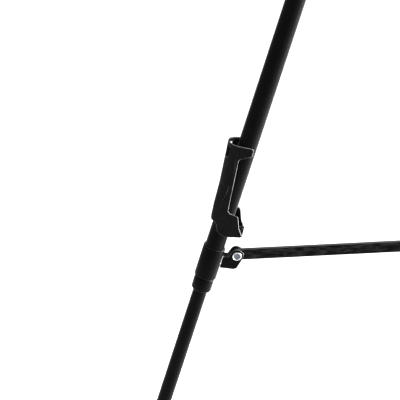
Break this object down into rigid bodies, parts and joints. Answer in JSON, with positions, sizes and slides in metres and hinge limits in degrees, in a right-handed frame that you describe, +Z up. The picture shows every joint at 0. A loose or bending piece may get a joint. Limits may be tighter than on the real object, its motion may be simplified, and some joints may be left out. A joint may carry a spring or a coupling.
{
  "type": "tripod display easel",
  "caption": "Folding tripod easel with telescoping legs, a braced spreader hub and a swing-out chart support on each front leg.",
  "frame": {"origin": "on the floor, under the middle of the easel's bounding box; the easel's upright axis stands 94.4 mm in front of it", "axes": "+Z up, front of the easel towards -Y, rear leg towards +Y, X across the two front legs"},
  "size_m": [0.6736, 0.5862, 1.2303],
  "materials": {
    "tube_black": "satin black enamel",
    "moulded_black": "fine-grained moulded plastic",
    "brace_black": "wrinkled black powder coat",
    "rivet_steel": "bright plated",
    "nylon_grey": "natural nylon",
    "foot_rubber": "matte"
  },
  "bodies": {
    "crown": {"crown": "moulded_black", "crown_pins": "rivet_steel"},
    "hub": {"spreader_hub": "moulded_black", "hub_pins": "rivet_steel"},
    "brace_rear": {"brace_rear": "brace_black"},
    "leg_rear": {"leg_tube_rear": "tube_black", "end_plug_rear": "moulded_black", "collar_rear": "moulded_black", "lug_rivet_rear": "rivet_steel", "grip_ring_rear": "nylon_grey"},
    "nut_rear": {"clamp_nut_rear": "moulded_black"},
    "lower_leg_rear": {"lower_tube_rear": "tube_black", "slide_bush_rear": "nylon_grey", "foot_rear": "foot_rubber"},
    "brace_left": {"brace_left": "brace_black"},
    "leg_left": {"leg_tube_left": "tube_black", "end_plug_left": "moulded_black", "collar_left": "moulded_black", "lug_rivet_left": "rivet_steel", "grip_ring_left": "nylon_grey", "support_pins_left": "rivet_steel"},
    "nut_left": {"clamp_nut_left": "moulded_black"},
    "lower_leg_left": {"lower_tube_left": "tube_black", "slide_bush_left": "nylon_grey", "foot_left": "foot_rubber"},
    "support_left": {"chart_support_left": "moulded_black"},
    "brace_right": {"brace_right": "brace_black"},
    "leg_right": {"leg_tube_right": "tube_black", "end_plug_right": "moulded_black", "collar_right": "moulded_black", "lug_rivet_right": "rivet_steel", "grip_ring_right": "nylon_grey", "support_pins_right": "rivet_steel"},
    "nut_right": {"clamp_nut_right": "moulded_black"},
    "lower_leg_right": {"lower_tube_right": "tube_black", "slide_bush_right": "nylon_grey", "foot_right": "foot_rubber"},
    "support_right": {"chart_support_right": "moulded_black"}
  },
  "joints": [
    {"name": "fold", "type": "slide", "parent": "crown", "child": "hub", "axis": [0, 0, 1], "range_m": [0, 0.17215]},
    {"name": "brace_rear_pivot", "type": "hinge", "parent": "hub", "child": "brace_rear", "pos_m": [0, -0.0744, 0.44273], "axis": [-1, 0, 0], "range_deg": [0, 72.51]},
    {"name": "leg_rear_pivot", "type": "hinge", "parent": "brace_rear", "child": "leg_rear", "pos_m": [0, 0.1306, 0.44273], "axis": [1, 0, 0], "range_deg": [0, 62.03]},
    {"name": "nut_rear_turn", "type": "hinge", "parent": "leg_rear", "child": "nut_rear", "pos_m": [0, 0.16334, 0.41465], "axis": [0, 0.279, -0.9603], "range_deg": [0, 90]},
    {"name": "lower_leg_rear_slide", "type": "slide", "parent": "leg_rear", "child": "lower_leg_rear", "axis": [0, 0.279, -0.9603], "range_m": [-0.385, 0.25]},
    {"name": "brace_left_pivot", "type": "hinge", "parent": "hub", "child": "brace_left", "pos_m": [-0.01732, -0.1044, 0.44273], "axis": [0.5, -0.866, 0], "range_deg": [0, 72.51]},
    {"name": "leg_left_pivot", "type": "hinge", "parent": "brace_left", "child": "leg_left", "pos_m": [-0.19486, -0.2069, 0.44273], "axis": [-0.5, 0.866, 0], "range_deg": [0, 62.03]},
    {"name": "nut_left_turn", "type": "hinge", "parent": "leg_left", "child": "nut_left", "pos_m": [-0.2232, -0.22326, 0.41465], "axis": [-0.2416, -0.1395, -0.9603], "range_deg": [0, 90]},
    {"name": "lower_leg_left_slide", "type": "slide", "parent": "leg_left", "child": "lower_leg_left", "axis": [-0.2416, -0.1395, -0.9603], "range_m": [-0.385, 0.25]},
    {"name": "support_left_pivot", "type": "hinge", "parent": "leg_left", "child": "support_left", "pos_m": [-0.20646, -0.2136, 0.4812], "axis": [0.6803, -0.73, -0.0651], "range_deg": [-1.2, 72]},
    {"name": "brace_right_pivot", "type": "hinge", "parent": "hub", "child": "brace_right", "pos_m": [0.01732, -0.1044, 0.44273], "axis": [0.5, 0.866, 0], "range_deg": [0, 72.51]},
    {"name": "leg_right_pivot", "type": "hinge", "parent": "brace_right", "child": "leg_right", "pos_m": [0.19486, -0.2069, 0.44273], "axis": [-0.5, -0.866, 0], "range_deg": [0, 62.03]},
    {"name": "nut_right_turn", "type": "hinge", "parent": "leg_right", "child": "nut_right", "pos_m": [0.2232, -0.22326, 0.41465], "axis": [0.2416, -0.1395, -0.9603], "range_deg": [0, 90]},
    {"name": "lower_leg_right_slide", "type": "slide", "parent": "leg_right", "child": "lower_leg_right", "axis": [0.2416, -0.1395, -0.9603], "range_m": [-0.385, 0.25]},
    {"name": "support_right_pivot", "type": "hinge", "parent": "leg_right", "child": "support_right", "pos_m": [0.20646, -0.2136, 0.4812], "axis": [0.6803, 0.73, 0.0651], "range_deg": [-1.2, 72]}
  ],
  "couplings": [
    {"joint": "brace_rear_pivot", "follows": "fold", "rad_per_m": 7.3504},
    {"joint": "leg_rear_pivot", "follows": "fold", "rad_per_m": 6.2875},
    {"joint": "brace_left_pivot", "follows": "fold", "rad_per_m": 7.3504},
    {"joint": "leg_left_pivot", "follows": "fold", "rad_per_m": 6.2875},
    {"joint": "brace_right_pivot", "follows": "fold", "rad_per_m": 7.3504},
    {"joint": "leg_right_pivot", "follows": "fold", "rad_per_m": 6.2875}
  ]
}
